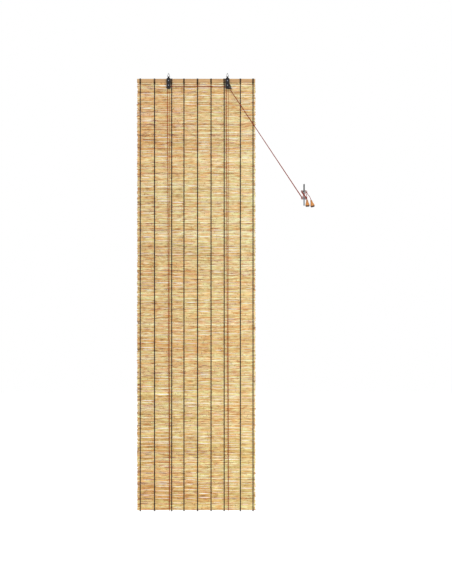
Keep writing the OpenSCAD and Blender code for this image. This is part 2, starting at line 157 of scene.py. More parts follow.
# Lashings
LASHING_TURNS = 3
LASHING_SPREAD = 1.22
LASHING_LOOSE = 0.0002
LASHING_FOOT_SHARE = 0.55
LASHING_ROUNDING = 0.0016
LASHING_SIDES = 8
LASHING_STRANDS = 2
LASHING_TWISTS = 16
LASHING_GROOVE = 0.2
CORNER_STEPS = 5

# Lift cords; the crown is the width over the strands, and the diameter is the mean of crowns and grooves
CORD_DIAMETER = 0.0028
CORD_CROWN = 0.003
CORD_SIDES = 10
CORD_STEP = 0.0015
CORD_STRANDS = 3
CORD_PITCH = 0.0085
CORD_GROOVE = 0.16
CORD_KNOT_SIZE = 0.0019
CORD_KNOT_SHARE = 0.8  # of the diameter, where a knot pulls the cord tight
ROUTE_STEP = 0.0005
ROUTE_FEWEST = 8
SHORT_RUN = 0.03
SHORT_RUN_PULL = 1.15  # short runs are rounded more

# Route of each lift cord, the same points as in the part's source
LEFT_ROUTE = [
    (-0.145, 0.0038, -0.041), (-0.145, 0.0155, -0.041), (-0.145, 0.0197, -0.0428),
    (-0.145, 0.0215, -0.047), (-0.145, 0.0168, -2.2216), (-0.145, 0.0149, -2.2262),
    (-0.145, 0.0103, -2.2281), (-0.145, 0.0057, -2.2262), (-0.145, 0.0038, -2.2216),
    (-0.156, -0.0015, -0.0715), (-0.1555, -0.0015, -0.0692), (-0.1542, -0.0015, -0.0673),
    (-0.1523, -0.0015, -0.066), (-0.15, -0.0015, -0.0655), (0.15, -0.0015, -0.0655),
    (0.1528, -0.0015, -0.0662), (0.155, -0.0015, -0.0682), (0.283, 0.0016, -0.2598),
    (0.5265, 0.011, -0.6243), (0.5318, 0.015, -0.6316), (0.541, 0.022, -0.6326), (0.5512, 0.0145, -0.6314),
    (0.5465, 0.0092, -0.6245), (0.5355, 0.0092, -0.6115), (0.5304, 0.015, -0.6044),
    (0.541, 0.022, -0.6034), (0.5506, 0.0145, -0.6044), (0.546, 0.0029, -0.6115), (0.536, 0.0029, -0.6245),
    (0.527, 0.01, -0.6374), (0.541, 0.022, -0.639), (0.5526, 0.0095, -0.6386), (0.5437, -0.0004, -0.6263),
    (0.5337, -0.0004, -0.6133), (0.5265, 0.009, -0.5976), (0.541, 0.022, -0.5969),
    (0.552, 0.0175, -0.5965), (0.5585, 0.0135, -0.6125), (0.57, 0.0135, -0.628), (0.5767, 0.0135, -0.6444),
    (0.584, 0.0135, -0.6723),
]
RIGHT_ROUTE = [
    (0.155, 0.0038, -0.041), (0.155, 0.0155, -0.041), (0.155, 0.0197, -0.0428), (0.155, 0.0215, -0.047),
    (0.155, 0.0168, -2.2216), (0.155, 0.0149, -2.2262), (0.155, 0.0103, -2.2281), (0.155, 0.0057, -2.2262),
    (0.155, 0.0038, -2.2216), (0.144, 0.0015, -0.0715), (0.1446, 0.0015, -0.069),
    (0.1461, 0.0015, -0.0669), (0.1484, 0.0015, -0.0657), (0.151, 0.0015, -0.0656),
    (0.1534, 0.0015, -0.0666), (0.155, 0.0015, -0.0682), (0.283, 0.0045, -0.2611),
    (0.5255, 0.014, -0.6265), (0.5298, 0.0178, -0.6338), (0.541, 0.022, -0.6356), (0.553, 0.0106, -0.6344),
    (0.5472, 0.0061, -0.6236), (0.5372, 0.0061, -0.6106), (0.529, 0.0108, -0.6014),
    (0.541, 0.022, -0.6004), (0.5516, 0.0184, -0.6022), (0.5533, 0.015, -0.611), (0.555, 0.0135, -0.626),
    (0.5559, 0.0135, -0.6414), (0.5584, 0.0135, -0.6703),
]
BACK_RUN = 4  # number of the point at the foot of the run behind the mat

# A tassel's outline from the top down, as shares of its radius and its length, soft between two edges
TASSEL_SHARES = [(0.36, 0.0), (0.42, 0.03), (0.45, 0.1), (0.46, 0.2), (0.53, 0.32), (0.68, 0.45),
                 (0.86, 0.6), (0.98, 0.73), (1.0, 0.81), (0.97, 0.9), (0.86, 0.97), (0.7, 1.0)]
TASSEL_SOFT = (0.02, 0.97)
TASSEL_SOFT_ROWS = 5
TASSEL_ROWS = 40
TASSEL_SEGMENTS = 48
TASSEL_LENGTH = 0.037
TASSEL_RADIUS = 0.011
TASSEL_BORE = 0.0017
TASSEL_POCKET = 0.0034
TASSEL_POCKET_DEPTH = 0.0089

# Rail and holes
RAIL_BEVEL = 0.0018
RAIL_BEVEL_STEPS = 3
RIVET_HOLE_RADIUS = 0.0018
CORD_HOLE_RADIUS = 0.0017
DRILL_SIDES = 32
DRILL_OVERRUN = 0.001
CUT_SHARP_DEGREES = 35

# Hanging rings
RING_APEX_RADIUS = 0.0015
RING_BASE_RADIUS = 0.0016
RING_BEND_STEPS = 14
RING_SIDES = 16

# The wall cleat
CLEAT_ROWS = 90
CLEAT_SIDES = 28
CLEAT_SQUARENESS = 0.4  # 1 is an oval section, 0 a square one
CLEAT_FRONT_DEPTH = 0.014
CLEAT_FOOT_HALF = 0.012
CLEAT_FILLET = 0.004
CLEAT_WAIST = 0.014
ARM_LEAN = 0.004
ARM_THICKNESS = 0.0055
ARM_TIP_SHARE = 0.62
ARM_END_SHARE = 0.84
ARM_BLUNTNESS = 0.02  # keeps the last row from closing to a point
SCREW_SPACING = 0.014
SCREW_RADIUS = 0.002
SCREW_OVERRUN = 0.002
SINK_RADIUS = 0.0036
SINK_DEPTH = 0.0022
SINK_OVERRUN = 0.0005

# Colours in linear light; lists are ramps of (place, colour) stops
WHITE, BLACK = (1, 1, 1), (0, 0, 0)
REED_TONES = [(0.0, (0.16, 0.073, 0.022)), (0.2, (0.33, 0.168, 0.05)), (0.4, (0.43, 0.266, 0.095)),
              (0.62, (0.485, 0.355, 0.15)), (0.82, (0.55, 0.445, 0.212)), (1.0, (0.64, 0.545, 0.3))]
REED_CASTS = [(0.37, (0.96, 1.13, 1.11)), (0.5, WHITE), (0.63, (1.06, 0.82, 0.66))]
REED_FADING = [(0.15, (1.0, 1.01, 1.06)), (0.39, (1.01, 1.06, 1.13)), (0.63, (1.01, 1.0, 0.99)),
               (0.88, (1.04, 1.03, 0.93))]
# Dark colour of the joints, also used as painted shade inside the hollow ends
REED_JOINT_AND_HOLLOW_SHADE = (0.14, 0.07, 0.03)
# Painted shade of a lift cord that runs behind the reeds
REED_CORD_SHADE = (0.58, 0.38, 0.22)
RAIL_TONES = [(0.3, (0.21, 0.103, 0.034)), (0.5, (0.31, 0.173, 0.062)), (0.7, (0.43, 0.275, 0.115))]
TASSEL_TONES = [(0.3, (0.27, 0.095, 0.02)), (0.5, (0.39, 0.155, 0.034)), (0.7, (0.46, 0.2, 0.05))]
TASSEL_NECK = [(0.2, (0.72, 0.7, 0.66)), (0.45, WHITE)]
TASSEL_FOOT = [(0.75, BLACK), (0.84, WHITE)]
TASSEL_DARK_FOOT = (0.035, 0.013, 0.005)
# The groove colours of cords and threads are painted shade between the strands
CORD_LOOKS = dict(groove=(0.06, 0.005, 0.001), crown=(0.185, 0.012, 0.002), fleck=(0.22, 0.03, 0.006),
                  shine=0.02)
WARP_LOOKS = dict(groove=(0.003, 0.003, 0.005), crown=(0.008, 0.007, 0.013), fleck=(0.02, 0.017, 0.026),
                  shine=0.03)
LASHING_LOOKS = dict(groove=(0.002, 0.0015, 0.0015), crown=(0.008, 0.005, 0.005),
                     fleck=(0.02, 0.012, 0.012), shine=0.03)
RING_LOOKS = dict(dark=(0.03, 0.03, 0.033), pale=(0.06, 0.06, 0.064), low=0.35, high=0.5, metallic=0.6)
BRIGHT_LOOKS = dict(dark=(0.19, 0.21, 0.26), pale=(0.28, 0.3, 0.36), low=0.25, high=0.45)
LOCK_LOOKS = dict(dark=(0.12, 0.12, 0.12), pale=(0.2, 0.2, 0.2), low=0.35, high=0.55)
# The cleat's colour up its height: a paler, bluish painted reflection low down and painted shade on the
# upper arm
ZINC_WITH_PAINTED_LIGHT = [(0.0, (0.1, 0.125, 0.145)), (0.62, (0.14, 0.15, 0.15)), (0.72, (0.016, 0.017, 0.018))]
ZINC_WEAR = [(0.3, (0.75, 0.75, 0.75)), (0.7, (1.1, 1.1, 1.1))]
PAINT = [(0.3, (0.004, 0.0032, 0.0035)), (0.7, (0.009, 0.0072, 0.0078))]
PAINT_WEAR = [(0.08, BLACK), (0.22, WHITE)]
PAINT_EDGE = (0.06, 0.053, 0.048)
PLASTIC = [(0.3, (0.02, 0.019, 0.018)), (0.7, (0.04, 0.038, 0.035))]
FLOOR_TONES = [(0.3, (0.9, 0.9, 0.9)), (0.7, (0.93, 0.93, 0.93))]

# Patterns of the materials: how dense each noise is in X, Y and Z, and how much it counts
REED_SEED_REACH = 60.0
REED_STREAKS, REED_STREAK_WEIGHT = (55, 500, 500), 1.1
REED_PATCHES, REED_PATCH_WEIGHT = (28, 30, 30), 1.5
REED_FIBRES = (60, 2200, 2200)
REED_HUES = (20, 60, 60)
REED_REGIONS, REED_REGION_SHARE = (2, 1, 4), 0.2
REED_JOINT_AND_HOLLOW_SHADE_WEIGHT = 0.75
CORD_SHADE_HALF_WIDTH = 0.0024
RAIL_GRAIN, PORES_PER_GRAIN, PORE_SHARE = (9, 200, 200), 4, 0.25
TASSEL_GRAIN = (500, 500, 60)
CORD_FIBRES = (2600, 2600, 2600)
CORD_WEAR = (70, 70, 70)
METAL_BLOTCHES = (160, 160, 160)
METAL_SCRATCHES = (1500, 1500, 120)
METAL_EDGE_RADIUS = 0.0004
PAINT_PATCHES = (420, 420, 420)
PAINT_EDGE_RADIUS = 0.0007
PLASTIC_GRAIN = (900, 900, 900)
FLOOR_MOTTLE = (0.5, 0.5, 0.5)


# Mesh helpers

def unit(v):
    return v / np.linalg.norm(v, axis=-1, keepdims=True)


def turn_angles(count):
    """Evenly spaced angles of a full turn."""
    return np.arange(count) * 2 * math.pi / count


def carried_sides(path, closed, hint):
    """Two side vectors at each point of a line, carried along it without twisting."""
    ahead, behind = np.roll(path, -1, 0), np.roll(path, 1, 0)
    if not closed:
        ahead[-1] = 2 * path[-1] - path[-2]
        behind[0] = 2 * path[0] - path[1]
    headings = unit(unit(ahead - path) + unit(path - behind))
    sides = np.empty_like(path)
    side = np.array(hint, float)
    for i, heading in enumerate(headings):
        side = unit(side - side.dot(heading) * heading)
        sides[i] = side
    return sides, np.cross(headings, sides)


def ring_faces(rings, sides, closed):
    """Quads between neighbouring rings of points, with a cap at each end of an open row."""
    starts = np.arange(rings if closed else rings - 1)[:, None] * sides
    a = starts + np.arange(sides)
    b = starts + (np.arange(sides) + 1) % sides
    count = rings * sides
    quads = np.stack([a, b, (b + sides) % count, (a + sides) % count], -1).reshape(-1, 4).tolist()
    if not closed:
        quads.append(list(range(sides))[::-1])
        quads.append(list(range(count - sides, count)))
    return quads


def tube(path, radii, sides, closed=False, hint=(1, 0, 0)):
    """Points and faces of a tube; radii is one number, one per ring, or one per point of each ring."""
    path = np.asarray(path, float)
    s, u = carried_sides(path, closed, hint)
    angles = turn_angles(sides)
    radii = np.asarray(radii, float)
    if radii.ndim == 1:
        radii = radii[:, None]
    radii = np.broadcast_to(radii, (len(path), sides))[:, :, None]
    around = np.cos(angles)[None, :, None] * s[:, None] + np.sin(angles)[None, :, None] * u[:, None]
    points = path[:, None] + radii * around
    return points.reshape(-1, 3), ring_faces(len(path), sides, closed)


def new_object(name, parts, material, tints=None, sharp=65, outward=False):
    """One mesh object of several (points, faces) parts, which rides on nothing yet."""
    points, faces, start = [], [], 0
    for part_points, part_faces in parts:
        points.append(part_points)
        faces += [[start + k for k in face] for face in part_faces]
        start += len(part_points)
    mesh = bpy.data.meshes.new(name)
    mesh.from_pydata(np.concatenate(points).tolist(), [], faces)
    if tints is not None:
        layer = mesh.attributes.new("tint", "FLOAT_COLOR", "POINT")
        layer.data.foreach_set("color", np.concatenate(tints).astype(np.float32).ravel())
    if outward:
        shell = bmesh.new()
        shell.from_mesh(mesh)
        bmesh.ops.recalc_face_normals(shell, faces=shell.faces)
        shell.to_mesh(mesh)
        shell.free()
    mesh.shade_smooth()
    mesh.set_sharp_from_angle(angle=math.radians(sharp))
    mesh.materials.append(material)
    return linked(name, mesh)


def linked(name, data):
    """A new object of the scene that shows a mesh, a light or a camera."""
    made = bpy.data.objects.new(name, data)
    bpy.context.scene.collection.objects.link(made)
    return made


def dress(made, body, slot, *replaced):
    """The piece rides on a body and stands for CAD nodes, which it hides; slot is not used."""
    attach(made, body)
    if replaced:
        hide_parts(*replaced)
    return made


def tint_rows(values, sides):
    """One colour row per point from one per ring."""
    return np.repeat(np.asarray(values, float), sides, axis=0)


def resample(path, step, closed=False):
    """Points at even steps along a line, and how far along each one lies."""
    path = np.asarray(path, float)
    if closed:
        path = np.vstack([path, path[:1]])
    along = np.concatenate([[0], np.cumsum(np.linalg.norm(np.diff(path, axis=0), axis=1))])
    count = max(2, round(along[-1] / step))
    places = np.linspace(0, along[-1], count + 1)
    if closed:
        places = places[:-1]
    return np.stack([np.interp(places, along, path[:, k]) for k in range(3)], -1), places


def smooth_route(points):
    """A close row of points on a smooth line through the route; long runs stay straight."""
    points = np.asarray(points, float)
    runs = np.diff(points, axis=0)
    lengths = np.linalg.norm(runs, axis=1)
    ways = unit(runs)
    headings = [ways[0]]
    for i in range(1, len(points) - 1):
        before = max(1, lengths[i - 1] / lengths[i] - 2)
        after = max(1, lengths[i] / lengths[i - 1] - 2)
        headings.append(unit(before * ways[i - 1] + after * ways[i]))
    headings.append(ways[-1])
    line = []
    for i, length in enumerate(lengths):
        pull = length * (SHORT_RUN_PULL if length < SHORT_RUN else 1.0)
        t = np.linspace(0, 1, max(ROUTE_FEWEST, round(length / ROUTE_STEP)), endpoint=False)[:, None]
        line.append((2 * t**3 - 3 * t**2 + 1) * points[i] + (t**3 - 2 * t**2 + t) * pull * headings[i]
                    + (3 * t**2 - 2 * t**3) * points[i + 1] + (t**3 - t**2) * pull * headings[i + 1])
    return np.vstack([*line, points[-1:]])


def twisted_tube(path, along, size, sides, strands, pitch, groove, closed=False):
    """A laid cord of a width and a depth: strands wind round the line, and the tint marks their crowns."""
    angles = turn_angles(sides)
    turn = strands / 2 * (angles[None] - 2 * math.pi * along[:, None] / pitch)
    crown = np.abs(np.cos(turn))
    wide, deep = size[0] / 2, size[1] / 2
    oval = wide * deep / np.hypot(deep * np.cos(angles), wide * np.sin(angles))
    points, faces = tube(path, oval * (1 - groove + groove * crown), sides, closed)
    tint = np.ones((len(points), 4))
    tint[:, 0] = crown.ravel()
    return (points, faces), tint


def rounded_loop(corners, radius):
    """A closed outline with each corner rounded off by a short curve."""
    corners = np.asarray(corners, float)
    rounded = []
    for i, corner in enumerate(corners):
        back = corner + radius * unit(corners[i - 1] - corner)
        ahead = corner + radius * unit(corners[(i + 1) % len(corners)] - corner)
        for t in np.linspace(0, 1, CORNER_STEPS):
            rounded.append((1 - t)**2 * back + 2 * t * (1 - t) * corner + t**2 * ahead)
    return np.array(rounded)


def knot_path(centre, size):
    """An overhand knot's line, about two sizes across."""
    t = np.linspace(0, 2 * math.pi, KNOT_STEPS)
    line = np.stack([np.sin(t) + 2 * np.sin(2 * t), -np.sin(3 * t), np.cos(t) - 2 * np.cos(2 * t)], -1)
    return np.asarray(centre) + size / 3 * line


# Material helpers

def new_material(name, **sockets):
    """A material and its node tree; sockets are constant values of the shader, by name."""
    material = bpy.data.materials.new(name)
    material.use_nodes = True
    tree = material.node_tree
    shader = tree.nodes["Principled BSDF"]
    for socket, value in sockets.items():
        shader.inputs[socket.replace("_", " ")].default_value = value
    return material, tree, shader


def node(tree, kind, inputs=(), **settings):
    made = tree.nodes.new("ShaderNode" + kind)
    for name, value in settings.items():
        setattr(made, name, value)
    for name, value in dict(inputs).items():
        if isinstance(value, bpy.types.NodeSocket):
            tree.links.new(value, made.inputs[name])
        else:
            made.inputs[name].default_value = value
    return made


def maths(tree, operation, a, b):
    return node(tree, "Math", {0: a, 1: b}, operation=operation).outputs[0]


def mixed(tree, a, b, share):
    """Two values added up, of which b counts by its share."""
    return maths(tree, "ADD", maths(tree, "MULTIPLY", a, 1 - share), maths(tree, "MULTIPLY", b, share))


def blend(tree, factor, a, b, blend_type="MIX"):
    """Colour a with b laid over it."""
    made = node(tree, "Mix", data_type="RGBA", blend_type=blend_type)
    for index, value in ((0, factor), (6, a), (7, b)):
        if isinstance(value, bpy.types.NodeSocket):
            tree.links.new(value, made.inputs[index])
        else:
            made.inputs[index].default_value = value if index == 0 else (*value, 1)
    return made.outputs[2]


def ramp(tree, factor, stops):
    """Colour looked up between (place, colour) stops."""
    made = node(tree, "ValToRGB", {"Fac": factor})
    elements = made.color_ramp.elements
    elements[0].position, elements[-1].position = stops[0][0], stops[-1][0]
    elements[0].color, elements[-1].color = (*stops[0][1], 1), (*stops[-1][1], 1)
    for place, colour in stops[1:-1]:
        elements.new(place).color = (*colour, 1)
    return made.outputs["Color"]


def noise(tree, scale, detail=3.0, shift=None):
    """Noise in the object's own space, stretched by scale in X, Y and Z."""
    own_space = node(tree, "TexCoord").outputs["Object"]
    vector = node(tree, "Mapping", {"Vector": own_space, "Scale": scale}).outputs[0]
    if shift is not None:
        vector = node(tree, "VectorMath", {0: vector, 1: shift}, operation="ADD").outputs[0]
    return node(tree, "TexNoise", {"Vector": vector, "Scale": 1.0, "Detail": detail}).outputs[0]


def own_xyz(tree):
    """X, Y and Z in the object's own space."""
    return node(tree, "SeparateXYZ", {"Vector": node(tree, "TexCoord").outputs["Object"]}).outputs


def tint_parts(tree):
    tint = node(tree, "Attribute", attribute_name="tint")
    return node(tree, "SeparateColor", {"Color": tint.outputs["Color"]}).outputs


def coat(tree, shader, colour):
    tree.links.new(colour, shader.inputs["Base Color"])


def bump(tree, shader, relief, distance, strength=0.6):
    made = node(tree, "Bump", {"Height": relief, "Distance": distance, "Strength": strength})
    tree.links.new(made.outputs[0], shader.inputs["Normal"])


def rough(tree, shader, factor, low, high):
    made = node(tree, "MapRange", {"Value": factor, "To Min": low, "To Max": high})
    tree.links.new(made.outputs[0], shader.inputs["Roughness"])


def round_edges(tree, shader, radius):
    """Light falls on the edges as if they were rounded; the rounded normal is handed back."""
    edge = node(tree, "Bevel", {"Radius": radius}, samples=6)
    tree.links.new(edge.outputs[0], shader.inputs["Normal"])
    return edge.outputs[0]


# Materials

def painted_cord_shade(tree, colour, x, patchy):
    """Painted shade on the reeds where a lift cord runs down behind them at x."""
    off = maths(tree, "ABSOLUTE", maths(tree, "SUBTRACT", own_xyz(tree)["X"], x), 0.0)
    near = node(tree, "MapRange", {"Value": off, "From Min": CORD_SHADE_HALF_WIDTH,
                                   "From Max": CORD_SHADE_HALF_WIDTH / 2})
    uneven = node(tree, "MapRange", {"Value": patchy, "From Min": 0.3, "From Max": 0.6, "To Min": 0.45})
    strength = maths(tree, "MULTIPLY", near.outputs[0], uneven.outputs[0])
    return blend(tree, strength, colour, blend(tree, 1.0, colour, REED_CORD_SHADE, "MULTIPLY"))


def reed_level(tree, tone, streak, patch):
    """Each reed's tone, with its streaks and patches."""
    drift = maths(tree, "MULTIPLY", maths(tree, "SUBTRACT", streak, 0.5), REED_STREAK_WEIGHT)
    wide = maths(tree, "MULTIPLY", maths(tree, "SUBTRACT", patch, 0.5), REED_PATCH_WEIGHT)
    return maths(tree, "ADD", maths(tree, "ADD", tone, drift), wide)


def weathered(tree, colour, shift):
    """Casts from pale green to orange, along each reed and over the mat, and a fading down the mat."""
    hue = noise(tree, REED_HUES, detail=3.0, shift=shift)
    region = noise(tree, REED_REGIONS, detail=1.0)
    warmth = mixed(tree, hue, region, REED_REGION_SHARE)
    colour = blend(tree, 1.0, colour, ramp(tree, warmth, REED_CASTS), "MULTIPLY")
    down = node(tree, "MapRange", {"Value": own_xyz(tree)["Z"], "From Min": mat_high.z,
                                   "From Max": mat_low.z})
    return blend(tree, 1.0, colour, ramp(tree, down.outputs[0], REED_FADING), "MULTIPLY")


def reed_material():
    """Dry reed: one tone per reed, streaks along it, darker joints, and painted shade in front of each
    cord that runs behind the mat.
    """
    material, tree, shader = new_material("dry_reed", Specular_IOR_Level=0.35)
    tone, seed, joint_and_hollow_shade = tint_parts(tree)
    far = maths(tree, "MULTIPLY", seed, REED_SEED_REACH)
    shift = node(tree, "CombineXYZ", {"X": far, "Y": far}).outputs[0]
    streak = noise(tree, REED_STREAKS, detail=4.0, shift=shift)
    patch = noise(tree, REED_PATCHES, detail=2.0, shift=shift)
    fine = noise(tree, REED_FIBRES, detail=2.0, shift=shift)
    colour = ramp(tree, reed_level(tree, tone, streak, patch), REED_TONES)
    colour = weathered(tree, colour, shift)
    # Joints, and painted shade inside the hollow ends, in the joints' dark colour
    colour = blend(tree, maths(tree, "MULTIPLY", joint_and_hollow_shade, REED_JOINT_AND_HOLLOW_SHADE_WEIGHT), colour, REED_JOINT_AND_HOLLOW_SHADE)
    # Painted shade where each lift cord runs down behind the reeds
    for route in (LEFT_ROUTE, RIGHT_ROUTE):
        colour = painted_cord_shade(tree, colour, route[BACK_RUN][0], streak)
    coat(tree, shader, colour)
    rough(tree, shader, streak, low=0.45, high=0.7)
    bump(tree, shader, fine, distance=0.0003)
    return material


def rail_material():
    """Planed wood with grain along the rail."""
    material, tree, shader = new_material("rail_wood")
    grain = noise(tree, RAIL_GRAIN, detail=5.0)
    pores = noise(tree, tuple(PORES_PER_GRAIN * s for s in RAIL_GRAIN), detail=2.0)
    coat(tree, shader, ramp(tree, mixed(tree, grain, pores, PORE_SHARE), RAIL_TONES))
    rough(tree, shader, pores, low=0.45, high=0.65)
    bump(tree, shader, pores, distance=0.0002, strength=0.4)
    return material


def tassel_material():
    """Turned wood, orange tan with a greyer neck and a dark foot."""
    material, tree, shader = new_material("tassel_wood", Specular_IOR_Level=0.3)
    along = tint_parts(tree)[0]
    grain = noise(tree, TASSEL_GRAIN, detail=4.0)
    wood = ramp(tree, grain, TASSEL_TONES)
    wood = blend(tree, 1.0, wood, ramp(tree, along, TASSEL_NECK), "MULTIPLY")
    coat(tree, shader, blend(tree, ramp(tree, along, TASSEL_FOOT), wood, TASSEL_DARK_FOOT))
    rough(tree, shader, grain, low=0.32, high=0.5)
    bump(tree, shader, grain, distance=0.0002, strength=0.4)
    return material


def cord_material(name, groove, crown, fleck, shine):
    """Laid cord or thread: painted shade darkens it between the strands, with fine fibres across them."""
    material, tree, shader = new_material(name, Specular_IOR_Level=shine)
    painted_groove_shade_mask = tint_parts(tree)[0]
    fibre = noise(tree, CORD_FIBRES, detail=2.0)
    worn = noise(tree, CORD_WEAR, detail=3.0)
    # Painted shade: the groove colour darkens the cord between the strands
    colour = ramp(tree, painted_groove_shade_mask, [(0.1, groove), (0.75, crown)])
    coat(tree, shader, blend(tree, maths(tree, "MULTIPLY", fibre, worn), colour, fleck))
    rough(tree, shader, fibre, low=0.75, high=0.95)
    bump(tree, shader, fibre, distance=0.0002)
    return material


def metal_material(name, dark, pale, low, high, metallic=1.0):
    """Bare metal with faint blotches and scratches in its roughness."""
    material, tree, shader = new_material(name, Metallic=metallic)
    blotch = noise(tree, METAL_BLOTCHES, detail=4.0)
    scratch = noise(tree, METAL_SCRATCHES, detail=3.0)
    coat(tree, shader, ramp(tree, blotch, [(0.3, dark), (0.7, pale)]))
    rough(tree, shader, scratch, low, high)
    round_edges(tree, shader, METAL_EDGE_RADIUS)
    return material


def cleat_material(low_z, high_z):
    """Dull zinc, with painted shade that darkens it towards the top and a paler, bluish painted reflection
    low down.
    """
    material, tree, shader = new_material("cleat_zinc", Metallic=0.5, Specular_IOR_Level=0.2)
    blotch = noise(tree, METAL_BLOTCHES, detail=4.0)
    scratch = noise(tree, METAL_SCRATCHES, detail=3.0)
    up = node(tree, "MapRange", {"Value": own_xyz(tree)["Z"], "From Min": low_z, "From Max": high_z})
    # Painted light: pale and bluish low down, painted shade near the top
    zinc = ramp(tree, up.outputs[0], ZINC_WITH_PAINTED_LIGHT)
    coat(tree, shader, blend(tree, 1.0, zinc, ramp(tree, blotch, ZINC_WEAR), "MULTIPLY"))
    rough(tree, shader, scratch, low=0.35, high=0.5)
    round_edges(tree, shader, METAL_EDGE_RADIUS)
    return material


def paint_material():
    """Black paint on steel, rubbed through along the edges."""
    material, tree, shader = new_material("black_paint", Specular_IOR_Level=0.14)
    edge_normal = round_edges(tree, shader, PAINT_EDGE_RADIUS)
    flat_normal = node(tree, "NewGeometry").outputs["Normal"]
    facing = node(tree, "VectorMath", {0: edge_normal, 1: flat_normal}, operation="DOT_PRODUCT")
    patch = noise(tree, PAINT_PATCHES, detail=5.0)
    edge = maths(tree, "SUBTRACT", 1.0, facing.outputs["Value"])
    wear = ramp(tree, maths(tree, "MULTIPLY", edge, patch), PAINT_WEAR)
    coat(tree, shader, blend(tree, wear, ramp(tree, patch, PAINT), PAINT_EDGE))
    rough(tree, shader, patch, low=0.32, high=0.6)
    return material


def plastic_material():
    """Dark plastic of the rollers."""
    material, tree, shader = new_material("roller_plastic")
    grain = noise(tree, PLASTIC_GRAIN, detail=3.0)
    coat(tree, shader, ramp(tree, grain, PLASTIC))
    rough(tree, shader, grain, low=0.4, high=0.6)
    bump(tree, shader, grain, distance=0.0001, strength=0.3)
    return material


# Camera, light and floor

def aim(made, target):
    made.rotation_euler = (Vector(target) - made.location).to_track_quat("-Z", "Y").to_euler()


def add_camera():
    data = bpy.data.cameras.new("camera")
    data.lens, data.sensor_width = LENS_MM, SENSOR_MM
    data.clip_end = CLIP_END
    camera = linked("camera", data)
    half_height = IMAGE_HEIGHT_PX * METRES_PER_PX / 2
    distance = half_height * LENS_MM / (SENSOR_MM / 2)
    camera.location = VIEW_CENTRE + Vector((0, -distance, 0))
    aim(camera, VIEW_CENTRE)
    bpy.context.scene.camera = camera


def add_softbox(name, place, target, size, power):
    data = bpy.data.lights.new(name, "AREA")
    data.shape, data.size, data.energy = "DISK", size, power
    made = linked(name, data)
    made.location = place
    aim(made, target)


def add_floor():
    z = cad_box[0].z - FLOOR_DROP
    signs = ((-1, -1), (1, -1), (1, 1), (-1, 1))
    corners = np.array([(x * FLOOR_REACH, y * FLOOR_REACH, z) for x, y in signs])
    material, tree, shader = new_material("pale_floor", Roughness=0.9, Emission_Color=(*WHITE, 1),
                                          Emission_Strength=0.2)
    coat(tree, shader, ramp(tree, noise(tree, FLOOR_MOTTLE), FLOOR_TONES))
    new_object("floor", [(corners, [[0, 1, 2, 3]])], material)


def add_studio():
    """White surroundings, a soft key light from the left, a weaker one from the right and a pale floor."""
    bpy.context.scene.view_settings.view_transform = "Standard"
    world = bpy.data.worlds.new("white_studio")
    bpy.context.scene.world = world
    world.use_nodes = True
    world.node_tree.nodes["Background"].inputs["Color"].default_value = (*WHITE, 1)
    for softbox in SOFTBOXES:
        add_softbox(*softbox)
    add_floor()


# Lift cords, knots and tassels

def tassel_profile():
    """Radius and height of a tassel's rows: down its outside, then up its pocket and its bore."""
    depth = np.linspace(0, 1, TASSEL_ROWS)
    shares = np.array(TASSEL_SHARES)
    radius = np.interp(depth, shares[:, 1], shares[:, 0])
    window = np.ones(TASSEL_SOFT_ROWS) / TASSEL_SOFT_ROWS
    soft = np.convolve(np.pad(radius, TASSEL_SOFT_ROWS // 2, mode="edge"), window, mode="valid")
    crisp = (depth < TASSEL_SOFT[0]) | (depth > TASSEL_SOFT[1])
    radius = np.where(crisp, radius, soft) * TASSEL_RADIUS
    outside = [(r, -d * TASSEL_LENGTH) for r, d in zip(radius, depth)]
    ceiling = TASSEL_POCKET_DEPTH - TASSEL_LENGTH
    inside = [(TASSEL_POCKET, -TASSEL_LENGTH), (TASSEL_POCKET, ceiling),
              (TASSEL_BORE, ceiling), (TASSEL_BORE, 0)]
    return np.array(outside + inside)


def add_tassel(name, top, low, material):
    """A turned bell with a bore for the cord and a pocket for its knot."""
    profile = tassel_profile()
    angles = turn_angles(TASSEL_SEGMENTS)
    points = np.stack([profile[:, :1] * np.cos(angles), profile[:, :1] * np.sin(angles),
                       np.broadcast_to(profile[:, 1:], (len(profile), TASSEL_SEGMENTS))], -1)
    hang = Vector(low) - Vector(top)
    turn = np.array(Vector((0, 0, -1)).rotation_difference(hang).to_matrix())
    points = points.reshape(-1, 3) @ turn.T + np.array(top)
    along = np.stack([-profile[:, 1] / TASSEL_LENGTH] * 3 + [np.ones(len(profile))], -1)
    faces = ring_faces(len(profile), TASSEL_SEGMENTS, closed=True)
    return new_object(name, [(points, faces)], material, [tint_rows(along, TASSEL_SEGMENTS)],
                      sharp=40, outward=True)


def add_lift_cord(side, route, material, tassel_wood):
    tassel = add_tassel(f"{side}_turned_tassel", route[-2], route[-1], tassel_wood)
    dress(tassel, ROOT, "tassel_wood", f"{side}_tassel")
    path, along = resample(smooth_route(route), CORD_STEP)
    part, tint = twisted_tube(path, along, (CORD_CROWN, CORD_CROWN), CORD_SIDES, CORD_STRANDS,
                              CORD_PITCH, CORD_GROOVE)
    cord = dress(new_object(f"{side}_laid_cord", [part], material, [tint]), ROOT, "cord", f"{side}_cord")
    for place, centre in (("anchor", path[0]), ("tassel", path[-1])):
        line, along_knot = resample(knot_path(centre, CORD_KNOT_SIZE), THREAD_STEP / 2)
        part, tint = twisted_tube(line, along_knot, (CORD_DIAMETER * CORD_KNOT_SHARE,) * 2, CORD_SIDES,
                                  CORD_STRANDS, CORD_PITCH, CORD_GROOVE)
        knot = new_object(f"{side}_{place}_knot", [part], material, [tint])
        dress(knot, ROOT, "cord")


# The reed mat

